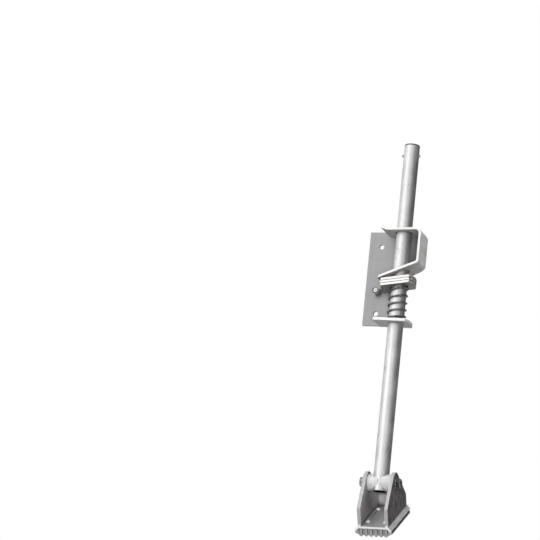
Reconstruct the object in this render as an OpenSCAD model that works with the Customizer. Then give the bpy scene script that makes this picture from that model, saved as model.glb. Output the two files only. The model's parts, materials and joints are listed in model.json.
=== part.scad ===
// Leg extension: a round leg that slides in a bracket, is gripped by three canted plates
// over a spring, and ends in a shoe that pivots on a cross bolt.
// Millimetres, +Z up along the leg. The origin is the middle of the back plate's bolt line, on
// the plate's mounting face. X runs outward, Y out of the plate's back.

/* [Back plate] */
// Height from the bolt line's middle up to the plate's top edge
plate_up = 72; // [70.5:0.5:76]
// Distance from the bolt line back to the plate's inner edge
plate_in = 18.5; // [14:0.5:24]
// Thickness of the back plate
plate_t = 4; // [3:0.5:6]
// Distance between the two open mounting holes
hole_gap = 100; // [90:1:110]
// Diameter of the mounting holes
hole_d = 7; // [6.8:0.1:8]

/* [Guard strip] */
// Depth of the strip and of the lower flange
strip_w = 40; // [38.5:0.5:44]
// Thickness of the bent strip
strip_t = 3.5; // [3:0.1:4]
// Distance from the leg's axis to the strip's outer face
guard_out = 30.5; // [30:0.5:34]
// Height of the top flange's upper face
guard_top = 68.6; // [64:0.2:69]
// Rise of the sloping flange towards the outside
slope_deg = 22.5; // [20:0.5:25]
// Fall of the top flange towards its lip
flange_fall = 1.5; // [0:0.1:2]
// Diameter of the guard's two leg holes
guide_d = 25.4; // [25:0.1:26]

/* [Lower flange] */
// Height of the lower flange's upper face, where the spring stands on it
lower_top = -65.4; // [-68:0.2:-64]
// Thickness of the lower flange
lower_t = 4.4; // [3.6:0.1:4.8]
// Fall of the lower flange towards the outside
lower_fall = 1.4; // [0:0.1:1.6]
// Diameter of the leg hole in the lower flange
lower_bore_d = 23.2; // [22.8:0.1:23.4]

/* [Locking plates] */
// Thickness of one locking plate
lock_t = 3.85; // [3.7:0.05:4.1]
// Tilt of the plates while they grip the leg
cant_deg = 8; // [7.5:0.1:8.2]
// Diameter of the leg hole in the locking plates
lock_bore_d = 24.8; // [24.7:0.1:25]
// Distance from the leg's axis to the plates' outer end
lock_out = 23.6; // [22:0.2:24]

/* [Spring] */
// Thickness of the spring wire
wire_d = 2.4; // [2:0.1:2.6]
// Distance from the leg's axis to the corners of the spring's centre line
coil_r = 13.6; // [13.6:0.1:14]

/* [Leg] */
// Outside diameter of the leg tube
tube_d = 22.2; // [22:0.1:22.3]
// Wall of the leg tube
tube_wall = 2; // [1.5:0.1:2.5]
// Length of the leg tube
tube_len = 508; // [480:1:540]
// Height of the shoe's pivot
pivot_z = -299.8; // [-320:0.2:-290]
// Distance of the stop pin below the tube's top
pin_drop = 14; // [10:0.5:30]
// Diameter of the stop pin
pin_d = 4; // [3:0.1:5]
// Length of the stop pin
pin_len = 26.6; // [25:0.1:30]

/* [Shoe] */
// Pitch of the shoe against the leg, as it stands
shoe_pitch = 30; // [20:1:40]
// Distance between the outer faces of the two ears
ear_span = 44.2; // [43:0.2:46]
// Thickness of the ears and of the web behind them
ear_t = 4.8; // [4:0.2:5.4]
// Radius of the ears' rounded top
ear_r = 15.5; // [13:0.5:17]
// Depth of the base plate's upper face under the pivot
base_drop = 47.7; // [44:0.1:52]
// Length of the base plate
base_len = 99; // [96:1:104]
// Thickness of the base plate
base_t = 3; // [2.5:0.1:3.5]
// Number of ribs under the tread pad
rib_count = 6; // [4:1:6]
// Distance from one rib to the next
rib_gap = 7.2; // [6.4:0.1:7.2]

/* [Hidden] */
leg_x = 37.5;
leg_y = -strip_w / 2;
tube_r = tube_d / 2;
plate_down = lower_top - 2.5;
tube_base = pivot_z - 12.4;
tube_top = tube_base + tube_len;
pin_z = tube_top - pin_drop;
lip_x = -19;
lip_deg = asin(0.352);
tip_x = -28.1;
toe_x = -29;
lock_mid = -9.95;
lock_step = lock_t * tan(cant_deg);
top_bend = 5;
top_cx = guard_out - strip_t - top_bend;
top_cz = guard_top - strip_t - top_bend;
top_len = top_cx - lip_x;
grip_t = 3;
plate_bolt_z = -18;
plate_bolt_d = 6.35;
bolt_d = 8;
saddle_r = 12;
saddle_out = 17;
ear_in = ear_span / 2 - ear_t;
washer_t = 1.2;
rivets = [[-12.4, -30.5], [12.4, -30.5], [-13, 22], [13, 22]];
rivet_d = 4;
$fn = 64;

// Lower and upper face of the sloping flange, x from the leg's axis
function slope_low(x) = 4.1 + tan(slope_deg) * x;
function slope_high(x) = slope_low(x) + strip_t / cos(slope_deg);
// Under side of the locking plates while they grip, x from the leg's axis
function lock_under(x) = lock_mid + tan(cant_deg) * x - 1.5 * lock_t / cos(cant_deg);

module at_leg() {
    translate([leg_x, leg_y, 0]) children();
}

// Shoe frame: pivot at its origin, Y along the sole towards its heel, Z off the sole
module at_shoe() {
    translate([leg_x, leg_y, pivot_z]) rotate([shoe_pitch, 0, 0]) children();
}

// A flat shape drawn in X and Z becomes a bar that lies along Y from y0 to y1
module along_y(y0, y1) {
    translate([0, y1, 0]) rotate([90, 0, 0]) linear_extrude(height = y1 - y0) children();
}

// A flat shape drawn in Y and Z becomes a plate from x0 to x1
module along_x(x0, x1) {
    translate([x0, 0, 0]) rotate([90, 0, 90]) linear_extrude(height = x1 - x0) children();
}

// Part of a flat ring between two angles less than 120 degrees apart
module bend(r_in, t, a0, a1) {
    far = 3 * (r_in + t);
    intersection() {
        difference() {
            circle(r = r_in + t);
            circle(r = r_in);
        }
        polygon([[0, 0], [far * cos(a0), far * sin(a0)],
            [far * cos((a0 + a1) / 2), far * sin((a0 + a1) / 2)],
            [far * cos(a1), far * sin(a1)]]);
    }
}

// Tongue whose outer end is an arc of radius r that reaches x1
module tongue(x0, x1, y0, y1, r) {
    intersection() {
        translate([x0, y0]) square([x1 - x0 + 1, y1 - y0]);
        translate([x1 - r, (y0 + y1) / 2]) circle(r = r, $fn = 256);
    }
}

// Quarter round weld bead, drawn in a corner that opens towards the given quadrant
module bead(r, qx, qy) {
    intersection() {
        circle(r = r);
        translate([qx > 0 ? 0 : -r, qy > 0 ? 0 : -r]) square([r, r]);
    }
}

module plate_outline() {
    wall = guard_out - 1;
    translate([leg_x, 0]) difference() {
        polygon([
            [-leg_x - plate_in, plate_down], [5, plate_down], [5, slope_low(5) - 1],
            [24, slope_low(24) + 0.5], [wall, slope_low(24) + 7], [wall, guard_top - 6],
            [wall - 8.5, plate_up], [-leg_x - plate_in, plate_up]]);
        translate([-leg_x, -hole_gap / 2]) circle(d = hole_d);
        translate([-leg_x, hole_gap / 2]) circle(d = hole_d);
        translate([-leg_x, plate_bolt_z]) circle(d = hole_d);
    }
}

module back_plate() {
    color("lightgray") along_y(0, plate_t) plate_outline();
}

// Side view of the strip; its top flange falls from the highest point of the upper bend
module guard_profile() {
    r2 = 2.5;
    r3 = 6;
    inner = guard_out - strip_t;
    bx = inner - r2;
    bz = slope_high(bx) + r2 / cos(slope_deg);
    // Top flange and its turned-up lip
    translate([top_cx, guard_top]) rotate(flange_fall) {
        translate([-top_len, -strip_t]) square([top_len, strip_t]);
        translate([-top_len, r3]) {
            bend(r3, strip_t, -90 - lip_deg, -90);
            rotate(-lip_deg) translate([-7.6, -r3 - strip_t]) square([7.6, strip_t]);
        }
    }
    // Outer wall and its two bends
    translate([top_cx, top_cz]) bend(top_bend, strip_t, 0, 90);
    translate([inner, bz]) square([strip_t, top_cz - bz]);
    translate([bx, bz]) bend(r2, strip_t, slope_deg - 90, 0);
    // Sloping flange, cut to an edge at its inner tip
    ex = bx + r2 * sin(slope_deg);
    polygon([[tip_x, slope_low(tip_x)],
        [ex + strip_t * sin(slope_deg), slope_low(ex + strip_t * sin(slope_deg))],
        [ex, slope_high(ex)], [tip_x + 2.5, slope_high(tip_x + 2.5)]]);
}

module guard_strip() {
    color("gainsboro") at_leg() difference() {
        along_y(-strip_w / 2, strip_w / 2) guard_profile();
        translate([0, 0, -15]) cylinder(h = 100, d = guide_d);
    }
}

// Frame of the lower flange, which falls outward from the spring's inner side
module at_lower() {
    translate([-coil_r - wire_d / 2, 0, lower_top]) rotate([0, lower_fall, 0])
        translate([coil_r + wire_d / 2, 0, 0]) children();
}

module lower_flange() {
    color("gainsboro") at_leg() difference() {
        at_lower() translate([0, 0, -lower_t]) linear_extrude(height = lower_t)
            tongue(toe_x, 22.9, -strip_w / 2, strip_w / 2, 50);
        translate([0, 0, lower_top - 10]) cylinder(h = 20, d = lower_bore_d);
    }
}

// Beads in the corners between the strip, the lower flange and the back plate
module bracket_welds() {
    color("silver") {
        translate([leg_x + top_cx, 0, guard_top]) rotate([0, -flange_fall, 0])
            along_x(-top_len, -1) bead(2.6, -1, 1);
        translate([0, -leg_y, 0]) at_leg() at_lower() along_x(-27, 3) bead(2.6, -1, 1);
        translate([leg_x, 0, slope_high(0)]) rotate([0, -slope_deg, 0])
            along_x(-24, 22) bead(2.4, -1, 1);
    }
}

// Bolt with its head behind the plate; grip_t is what it clamps against the mounting face
module plate_bolt() {
    color("dimgray") translate([0, 0, plate_bolt_z]) rotate([90, 0, 0]) {
        translate([0, 0, -plate_t - 4.4]) cylinder(h = 4.4, d = 12.8, $fn = 6);
        translate([0, 0, -plate_t - 0.1]) cylinder(h = plate_t + grip_t + 9, d = plate_bolt_d);
    }
}

module plate_washer() {
    color("gray") translate([0, -grip_t, plate_bolt_z]) rotate([90, 0, 0]) difference() {
        cylinder(h = 1.3, d = 13.6);
        translate([0, 0, -1]) cylinder(h = 4, d = plate_bolt_d);
    }
}

module plate_nut() {
    color("gray") translate([0, -grip_t - 1.3, plate_bolt_z]) rotate([90, 0, 0]) difference() {
        union() {
            cylinder(h = 5.4, d = 12.8, $fn = 6);
            translate([0, 0, 5]) cylinder(h = 1.7, d = 10);
        }
        translate([0, 0, -1]) cylinder(h = 9, d = plate_bolt_d);
    }
}

// Outline of one locking plate, drawn in its own plane and drawn in by inset all round
module lock_outline(toe, inset) {
    y0 = -strip_w / 2 + inset;
    y1 = strip_w / 2 - 1 - inset;
    difference() {
        tongue(toe_x - toe + inset, lock_out - inset, y0, y1, 42 - inset);
        // Slanted inner edge
        translate([toe_x - toe - 1 + inset, y0 - 0.01])
            polygon([[-3, -1], [7.5, -1], [7.0, 0], [1, strip_w - 2], [1, strip_w + 2],
                [-3, strip_w + 2]]);
    }
}

// One of the three plates, level 0 at the bottom to 2 at the top
module lock_plate(level, toe) {
    rim = 0.35;
    at_leg() translate([0, 0, lock_mid]) rotate([0, -cant_deg, 0])
        translate([(level - 1) * lock_step, 0, (level - 1.5) * lock_t]) difference() {
            union() {
                linear_extrude(height = lock_t) lock_outline(toe, rim);
                translate([0, 0, rim]) linear_extrude(height = lock_t - 2 * rim)
                    lock_outline(toe, 0);
            }
            translate([0, 0, -1]) cylinder(h = lock_t + 2, d = lock_bore_d);
            translate([-23, -2.5, -1]) cylinder(h = lock_t + 2, d = 3.8);
        }
}

module lock_plate_top() {
    color("gainsboro") lock_plate(2, 0);
}

module lock_plate_middle() {
    color("gainsboro") lock_plate(1, 1.1);
}

module lock_plate_bottom() {
    color("gainsboro") lock_plate(0, 0);
}

// Centre line of the spring: a straight end off the flange, five closed and open turns, and a
// straight end square to the canted plates
function unit(v) = v / norm(v);
function coil_at(a, z) = [coil_r * cos(a), coil_r * sin(a), z];
function coil_z(a) = max(lower_top + wire_d + 0.1 + (a + 180) * 0.002,
    min(-59.6 + 9.87 * a / 360, -20.35 + (a - 1440) * 0.0002));
coil_end = coil_at(1620, coil_z(1620));
coil_lift = (lock_under(-coil_r) - 0.05 - coil_end[2]) / cos(cant_deg);
coil_path = concat(
    [coil_at(-180, lower_top), coil_at(-180, lower_top + wire_d)],
    [for (i = [1:39]) coil_at(-180 + 45 * i, coil_z(-180 + 45 * i))],
    [coil_end, coil_end + coil_lift * [-sin(cant_deg), 0, cos(cant_deg)]]);

// Six points round each point of the centre line
coil_n = len(coil_path);
function coil_dir(i) = unit(
    (i > 0 ? unit(coil_path[i] - coil_path[i - 1]) : [0, 0, 0]) +
    (i < coil_n - 1 ? unit(coil_path[i + 1] - coil_path[i]) : [0, 0, 0]));
function coil_out(i) = let (p = coil_path[i], e = unit([p[0], p[1], 0]), t = coil_dir(i))
    unit(e - (e * t) * t);
coil_points = [for (i = [0:coil_n - 1]) let (n = coil_out(i), b = cross(coil_dir(i), n))
    for (k = [0:5]) coil_path[i] + wire_d / 2 * (cos(60 * k) * n + sin(60 * k) * b)];
coil_faces = concat(
    [for (i = [0:coil_n - 2]) for (k = [0:5]) for (h = [0, 1]) let (j = (k + 1) % 6)
        h == 0 ? [6 * i + k, 6 * i + 6 + k, 6 * i + 6 + j]
            : [6 * i + k, 6 * i + 6 + j, 6 * i + j]],
    [for (k = [1:4]) [0, k, k + 1]],
    [for (k = [1:4]) let (m = 6 * coil_n - 6) [m, m + k + 1, m + k]]);

// Least gap between turns, measured from ring to ring
coil_gap = min([for (i = [0:coil_n - 8]) for (j = [i + 6:coil_n - 1])
    norm(coil_path[i] - coil_path[j]) - wire_d]);
echo(str("least gap of the spring to itself: ", coil_gap, " mm"));

module release_spring() {
    color("dimgray") at_leg() polyhedron(points = coil_points, faces = coil_faces, convexity = 8);
}

module leg_tube() {
    color("silver") at_leg() difference() {
        translate([0, 0, tube_base]) cylinder(h = tube_len, r = tube_r);
        translate([0, 0, tube_base - 1]) cylinder(h = tube_len + 2, r = tube_r - tube_wall);
        translate([-tube_r - 1, 0, pivot_z]) rotate([0, 90, 0])
            cylinder(h = tube_d + 2, d = bolt_d);
        translate([-tube_r - 1, 0, pin_z]) rotate([0, 90, 0]) cylinder(h = tube_d + 2, d = pin_d);
    }
}

// Plastic plug, its rim over the tube's end
module top_plug() {
    color("black") at_leg() difference() {
        union() {
            translate([0, 0, tube_top]) cylinder(h = 2, r = tube_r);
            translate([0, 0, tube_top - 9]) cylinder(h = 10, r = tube_r - tube_wall);
        }
        translate([0, 0, tube_top - 10]) cylinder(h = 10, r = tube_r - tube_wall - 1.6);
    }
}

// Slotted spring pin through the tube
module stop_pin() {
    color("gray") at_leg() translate([-pin_len / 2 - 0.3, 0, pin_z]) rotate([0, 90, 0])
        difference() {
            cylinder(h = pin_len, d = pin_d);
            translate([0, 0, -1]) cylinder(h = pin_len + 2, d = pin_d - 1.6);
            translate([0, -0.35, -1]) cube([pin_d, 0.7, pin_len + 2]);
        }
}

// Half of the round block that fills the shoe beside the tube, coped to the tube
module saddle(side) {
    at_leg() translate([0, 0, pivot_z]) difference() {
        translate([side > 0 ? 1.8 : -saddle_out, 0, 0]) rotate([0, 90, 0])
            cylinder(h = saddle_out - 1.8, r = saddle_r);
        translate([0, 0, -20]) cylinder(h = 40, r = tube_r);
        translate([-20, 0, 0]) rotate([0, 90, 0]) cylinder(h = 40, d = bolt_d);
    }
}

module left_saddle() {
    color("whitesmoke") saddle(-1);
}

module right_saddle() {
    color("whitesmoke") saddle(1);
}

// Spacer inside the tube that the pivot bolt clamps without crushing the tube
module pivot_sleeve() {
    color("silver") at_leg() translate([0, 0, pivot_z]) intersection() {
        translate([-8.2, 0, 0]) rotate([0, 90, 0]) difference() {
            cylinder(h = 16.4, d = 12);
            translate([0, 0, -1]) cylinder(h = 20, d = bolt_d);
        }
        translate([0, 0, -10]) cylinder(h = 20, r = tube_r - tube_wall - 0.1);
    }
}

module pivot_bolt() {
    seat = ear_span / 2 + 0.2 + washer_t;
    color("dimgray") at_leg() translate([0, 0, pivot_z]) rotate([0, 90, 0]) {
        translate([0, 0, -seat - 6]) cylinder(h = 6, d = 15, $fn = 6);
        translate([0, 0, -seat - 0.1]) cylinder(h = 2 * seat + 6.9, d = bolt_d);
    }
}

module pivot_washers() {
    color("gray") at_leg() for (side = [-1, 1])
        translate([side * (ear_span / 2 + 0.2 + washer_t / 2), 0, pivot_z]) rotate([0, 90, 0])
            difference() {
                cylinder(h = washer_t, d = 16, center = true);
                cylinder(h = washer_t + 2, d = bolt_d, center = true);
            }
}

module pivot_nut() {
    seat = ear_span / 2 + 0.2 + washer_t;
    color("dimgray") at_leg() translate([seat, 0, pivot_z]) rotate([0, 90, 0]) difference() {
        union() {
            cylinder(h = 5.6, d = 15, $fn = 6);
            translate([0, 0, 5.2]) cylinder(h = 1.3, d = 12);
        }
        translate([0, 0, -1]) cylinder(h = 12, d = bolt_d);
    }
}

// Side of an ear, round at the pivot and sloping to the toe and the heel
front_deg = 41.6;
rear_deg = 49.2;
toe_y = -48;
heel_y = 46.5;
toe_z = (ear_r + sin(front_deg) * toe_y) / cos(front_deg);
heel_z = (ear_r - sin(rear_deg) * heel_y) / cos(rear_deg);

module ear_outline() {
    circle(r = ear_r);
    polygon([[toe_y, -base_drop], [toe_y, toe_z],
        [-ear_r * sin(front_deg), ear_r * cos(front_deg)], [0, 0],
        [ear_r * sin(rear_deg), ear_r * cos(rear_deg)],
        [heel_y, heel_z], [heel_y, -base_drop]]);
}

module web_outline() {
    up = 8;
    polygon([[heel_y, -base_drop], [heel_y, heel_z],
        [heel_y - up * cos(rear_deg), heel_z + up * sin(rear_deg)],
        [heel_y - up * cos(rear_deg) - ear_t * sin(rear_deg),
            heel_z + up * sin(rear_deg) - ear_t * cos(rear_deg)],
        [heel_y - ear_t, heel_z - ear_t * (1 - sin(rear_deg)) / cos(rear_deg)],
        [heel_y - ear_t, -base_drop]]);
}

// Two ears joined by a web across the heel
module shoe_cradle() {
    color("gray") at_shoe() {
        difference() {
            union() {
                along_x(-ear_span / 2, -ear_in) ear_outline();
                along_x(ear_in, ear_span / 2) ear_outline();
            }
            translate([-40, 0, 0]) rotate([0, 90, 0]) cylinder(h = 80, r = bolt_d / 2 + 0.06);
        }
        along_x(-ear_in, ear_in) web_outline();
    }
}

// Flat base with sides that flare out and down over the pad
flare_deg = 50;
flare_len = 7;
half_top = ear_span / 2 + 0.3;
flare_x = half_top + flare_len * cos(flare_deg);
flare_z = -base_drop - flare_len * sin(flare_deg);
under_x = flare_x - base_t * sin(flare_deg);
under_z = flare_z - base_t * cos(flare_deg);
inner_x = half_top - base_t * (1 - cos(flare_deg)) / sin(flare_deg);

module base_outline() {
    polygon([[-half_top, -base_drop], [half_top, -base_drop],
        [flare_x, flare_z], [under_x, under_z], [inner_x, -base_drop - base_t],
        [-inner_x, -base_drop - base_t], [-under_x, under_z], [-flare_x, flare_z]]);
}

// The two half round ribs stand beside the ears' feet
module shoe_base() {
    color("darkgray") at_shoe() difference() {
        union() {
            along_y(-base_len / 2 - 0.5, base_len / 2 - 0.5) base_outline();
            for (side = [-1, 1]) along_y(-26.5, 17.5)
                translate([side * 14.6, 0.2 - base_drop]) circle(r = 2, $fn = 32);
        }
        for (p = rivets)
            translate([p[0], p[1], -base_drop - 10]) cylinder(h = 20, d = rivet_d);
    }
}

// Beads across the ears' toes and along the web's foot
module shoe_welds() {
    color("silver") at_shoe() translate([0, 0, -base_drop]) {
        translate([0, toe_y, 0]) along_x(-ear_span / 2, -ear_in) bead(1.8, -1, 1);
        translate([0, toe_y, 0]) along_x(ear_in, ear_span / 2) bead(1.8, -1, 1);
        translate([0, heel_y, 0]) along_x(-ear_span / 2 + 1, ear_span / 2 - 1) bead(1.8, 1, 1);
    }
}

// Rubber pad under the base, ribbed along its length, the ribs turned up at both ends
module pad_section(side_x) {
    low = -base_drop - 13.3;
    polygon([[-inner_x, -base_drop - base_t], [inner_x, -base_drop - base_t],
        [under_x, under_z], [side_x, under_z], [side_x, low + 2.6], [side_x - 5.4, low],
        [5.4 - side_x, low], [-side_x, low + 2.6], [-side_x, under_z], [-under_x, under_z]]);
}

module tread_pad() {
    rib_r = 3;
    post_r = 2.9;
    rib_z = -base_drop - 12.3;
    y0 = -base_len / 2 + 0.9;
    y1 = base_len / 2 - 1.9;
    color("dimgray") at_shoe() {
        along_y(y0 + 2, y1 - 2) pad_section(flare_x - 0.1);
        for (i = [0:rib_count - 1]) translate([(i - (rib_count - 1) / 2) * rib_gap, 0, 0]) {
            translate([0, 0, rib_z]) along_y(y0 + 1, y1 - 1) circle(r = rib_r);
            for (y = [y0 + post_r, y1 - post_r]) translate([0, y, rib_z])
                cylinder(h = -base_drop - base_t - 1.2 - rib_z, r = post_r);
        }
    }
}

// Rivets through the base that hold the pad
module pad_rivets() {
    color("silver") at_shoe() for (p = rivets) translate([p[0], p[1], -base_drop]) {
        translate([0, 0, -base_t]) cylinder(h = base_t + 0.5, d = rivet_d);
        cylinder(h = 2.6, r1 = 3.2, r2 = 1.8, $fn = 32);
    }
}

back_plate();
guard_strip();
lower_flange();
bracket_welds();
plate_bolt();
plate_washer();
plate_nut();
lock_plate_top();
lock_plate_middle();
lock_plate_bottom();
release_spring();
leg_tube();
top_plug();
stop_pin();
left_saddle();
right_saddle();
pivot_sleeve();
pivot_bolt();
pivot_washers();
pivot_nut();
shoe_cradle();
shoe_base();
shoe_welds();
tread_pad();
pad_rivets();
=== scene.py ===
# %% [markdown]
# # A leg extension, dressed in Blender
# The frame comes from the imported CAD model: every part is already in its place and at its real
# size. This script sets up the camera and a small studio, mixes a finish out of nodes for every
# part, and models again by hand the parts whose real shape is finer than the CAD: rolled edges,
# a wound spring, domed rivets, chamfered nuts with real threads, and rippled weld beads.

# %% [markdown]
# ## The frame
# Loading the frame brings in the CAD parts and clears everything else. Lengths in this script are
# in metres, so the values that were measured in millimetres are multiplied by `mm`.

# %% Load the frame
import bpy
import bmesh
import json
import math
from mathutils import Matrix, Vector


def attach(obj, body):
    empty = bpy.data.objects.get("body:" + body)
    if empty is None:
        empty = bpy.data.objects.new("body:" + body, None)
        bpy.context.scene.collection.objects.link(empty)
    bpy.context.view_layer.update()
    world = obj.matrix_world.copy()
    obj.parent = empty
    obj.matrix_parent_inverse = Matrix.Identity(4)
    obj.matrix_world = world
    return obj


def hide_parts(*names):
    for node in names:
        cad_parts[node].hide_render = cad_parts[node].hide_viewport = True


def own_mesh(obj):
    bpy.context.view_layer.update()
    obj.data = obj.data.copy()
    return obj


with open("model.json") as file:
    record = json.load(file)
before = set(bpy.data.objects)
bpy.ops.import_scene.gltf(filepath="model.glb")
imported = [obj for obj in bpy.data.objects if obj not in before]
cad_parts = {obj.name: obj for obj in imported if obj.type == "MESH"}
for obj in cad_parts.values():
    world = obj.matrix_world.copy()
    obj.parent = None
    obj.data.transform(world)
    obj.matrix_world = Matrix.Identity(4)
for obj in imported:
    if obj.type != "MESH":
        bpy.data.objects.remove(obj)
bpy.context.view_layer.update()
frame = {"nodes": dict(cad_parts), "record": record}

mm = 0.001
leg = Vector((37.5, -20, 0)) * mm             # the leg's axis, level with the plate's bolt
pivot = leg + Vector((0, 0, -299.8)) * mm     # the shoe turns round this point
pitch = math.radians(30)                      # and leans by this much

# %% [markdown]
# ## The camera
# The object is seen with a long lens from below and from its outer side. The direction is given
# by two turns round the leg and a little roll, and the place by the distance to a point on the
# leg and by how far that point stands from the middle of the picture.

# %% Camera
def turned(azimuth, elevation, roll):
    a, e, t = (math.radians(x) for x in (azimuth, elevation, roll))
    ahead = Vector((-math.sin(a) * math.cos(e), math.cos(a) * math.cos(e), -math.sin(e)))
    right = Vector((math.cos(a), math.sin(a), 0))
    up = right.cross(ahead)
    return (math.cos(t) * right + math.sin(t) * up,
            math.cos(t) * up - math.sin(t) * right, ahead)

right, up, ahead = turned(azimuth=19.669, elevation=-15.108, roll=6.176)
aim = leg + Vector((0, 0, -61)) * mm
distance, to_right, to_top = 3556.3, 179.58, 68.28
eye = aim - ahead * distance * mm - right * to_right * mm + up * to_top * mm

film, picture, focal_pixels = 36, 540, 2500
camera_data = bpy.data.cameras.new("camera")
camera_data.sensor_width = film
camera_data.lens = focal_pixels / picture * film
camera_data.clip_end = 50
camera = bpy.data.objects.new("camera", camera_data)
camera.matrix_world = Matrix.Translation(eye) @ Matrix((right, up, -ahead)).transposed().to_4x4()
bpy.context.scene.collection.objects.link(camera)
bpy.context.scene.camera = camera
print("camera at", tuple(round(c, 3) for c in eye), "lens", round(camera_data.lens, 1))

# %% [markdown]
# ## Helpers for nodes
# The world and every material are trees of nodes. Three small functions keep their recipes short:
# one empties a tree, one adds a node and sets its values, and one joins an output to an input.

# %% Helpers for nodes
def new_tree(owner):
    owner.use_nodes = True
    owner.node_tree.nodes.clear()
    return owner.node_tree

def add(tree, kind, **settings):
    node = tree.nodes.new(kind)
    for name, value in settings.items():
        if name in node.inputs:
            node.inputs[name].default_value = value
        else:
            setattr(node, name, value)
    return node

def join(tree, a, a_out, b, b_in):
    tree.links.new(a.outputs[a_out], b.inputs[b_in])

# %% [markdown]
# ## The world
# The background is white to the eye and to reflections, and lights the object as a soft, dim
# grey. The Light Path node tells the two apart, so the white never floods the shadows.

# %% World
world = bpy.data.worlds.new("studio")
bpy.context.scene.world = world
tree = new_tree(world)
seen = add(tree, "ShaderNodeLightPath")
either = add(tree, "ShaderNodeMath", operation="MAXIMUM")
any_of = add(tree, "ShaderNodeMath", operation="MAXIMUM")
soft = add(tree, "ShaderNodeBackground", Color=(0.98, 0.98, 1.0, 1), Strength=0.11)
white = add(tree, "ShaderNodeBackground", Color=(1, 1, 1, 1), Strength=1.0)
mix = add(tree, "ShaderNodeMixShader")
out = add(tree, "ShaderNodeOutputWorld")
join(tree, seen, "Is Camera Ray", either, 0)
join(tree, seen, "Is Glossy Ray", either, 1)
join(tree, either, 0, any_of, 0)
join(tree, seen, "Is Transmission Ray", any_of, 1)
join(tree, any_of, 0, mix, 0)
join(tree, soft, 0, mix, 1)
join(tree, white, 0, mix, 2)
join(tree, mix, 0, out, 0)
print("world: soft", soft.inputs["Strength"].default_value, "and white 1.0")

# %% [markdown]
# ## The studio
# A round pale floor lies under the lowest place the shoe can reach. The camera looks up from
# below it, so the floor is only there from above: its under side is see-through. It catches the
# object's shadow, but throws no light back up, which would wash out the under sides. Bare metal
# takes its look from what it mirrors, so a dark card stands on the outer side, bent round the back
# corner. Only reflections can see it, and it gives round metal its dark flank.

# %% Floor and card
def plain_mesh(name, bm):
    mesh = bpy.data.meshes.new(name)
    bm.to_mesh(mesh)
    bm.free()
    obj = bpy.data.objects.new(name, mesh)
    bpy.context.scene.collection.objects.link(obj)
    return obj

def corners_of(parts):
    return [part for part in parts if isinstance(part, bmesh.types.BMVert)]

def edges_of(parts):
    return [part for part in parts if isinstance(part, bmesh.types.BMEdge)]

def studio_finish(name, colour, rough, one_sided):
    material = bpy.data.materials.new(name)
    tree = new_tree(material)
    face = add(tree, "ShaderNodeBsdfPrincipled",
               **{"Base Color": (*colour, 1), "Roughness": rough})
    out = add(tree, "ShaderNodeOutputMaterial")
    if one_sided:
        side = add(tree, "ShaderNodeNewGeometry")
        clear = add(tree, "ShaderNodeBsdfTransparent")
        mix = add(tree, "ShaderNodeMixShader")
        join(tree, side, "Backfacing", mix, 0)
        join(tree, face, 0, mix, 1)
        join(tree, clear, 0, mix, 2)
        join(tree, mix, 0, out, 0)
    else:
        join(tree, face, 0, out, 0)
    return material

floor_level, floor_radius = -0.5, 2
bm = bmesh.new()
bmesh.ops.create_circle(bm, cap_ends=True, segments=96, radius=floor_radius)
bmesh.ops.translate(bm, verts=bm.verts, vec=(leg.x, leg.y, floor_level))
floor = plain_mesh("floor", bm)
floor.data.materials.append(studio_finish("pale floor", (0.86, 0.86, 0.86), 0.9, True))
floor.visible_diffuse = False

card_corners, card_height = ((2.2, -1.8, -2.5), (2.2, 3.2, -2.5), (0.2, 3.2, -2.5)), 6
bm = bmesh.new()
posts = [bm.verts.new(corner) for corner in card_corners]
feet = [bm.edges.new(pair) for pair in zip(posts, posts[1:])]
wall = bmesh.ops.extrude_edge_only(bm, edges=feet)["geom"]
bmesh.ops.translate(bm, verts=corners_of(wall), vec=(0, 0, card_height))
card = plain_mesh("dark_card", bm)
card.data.materials.append(studio_finish("dark card", (0.03, 0.03, 0.032), 1.0, False))
for kind in ("camera", "diffuse", "shadow", "transmission"):
    setattr(card, "visible_" + kind, False)
print("floor at", floor_level, "m; card seen by reflections only")

# %% [markdown]
# ### The lamps
# A large soft lamp in front on the left, the key, gives the light and all the lamp highlights:
# the others are hidden from reflections. Two small ones with a narrow beam stand on the lines from
# the camera to the bracket and to the shoe, so they reach every place that the camera sees and
# clear the shadows there; the camera looks through them. A fill lifts the outer side, one lamp
# lights the back, and a wide one high above lights the floor evenly.

# %% Lamps
middle = (0.0375, -0.02, -0.12)

def lamp(name, place, watts, size, target=middle, mirrored=False, spread=180):
    data = bpy.data.lights.new(name, "AREA")
    data.energy = watts
    data.shape = "DISK"
    data.size = size
    data.spread = math.radians(spread)
    obj = bpy.data.objects.new(name, data)
    obj.location = place
    obj.rotation_euler = (Vector(target) - Vector(place)).to_track_quat("-Z", "Y").to_euler()
    obj.visible_camera = False
    obj.visible_glossy = mirrored
    bpy.context.scene.collection.objects.link(obj)
    print(f"lamp {name}: {watts} W, {size} m across")

hollow = Vector((37.5, 0, -330)) * mm          # inside the shoe, between its two sides
lamp("key", (-1.4, -2.4, 0.65), 41, 3.0, mirrored=True)
lamp("front", aim - ahead * 1.2, 0.31, 0.25, target=aim, spread=45)
lamp("low", hollow.lerp(eye, 0.18), 0.09, 0.1, target=hollow, spread=42)
lamp("fill", (2.0, -0.5, 0.9), 31, 1.4)
lamp("back", (-0.8, 2.4, 1.2), 36, 1.6)
lamp("top", (0, -0.2, 4.5), 84, 6.0)
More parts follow.
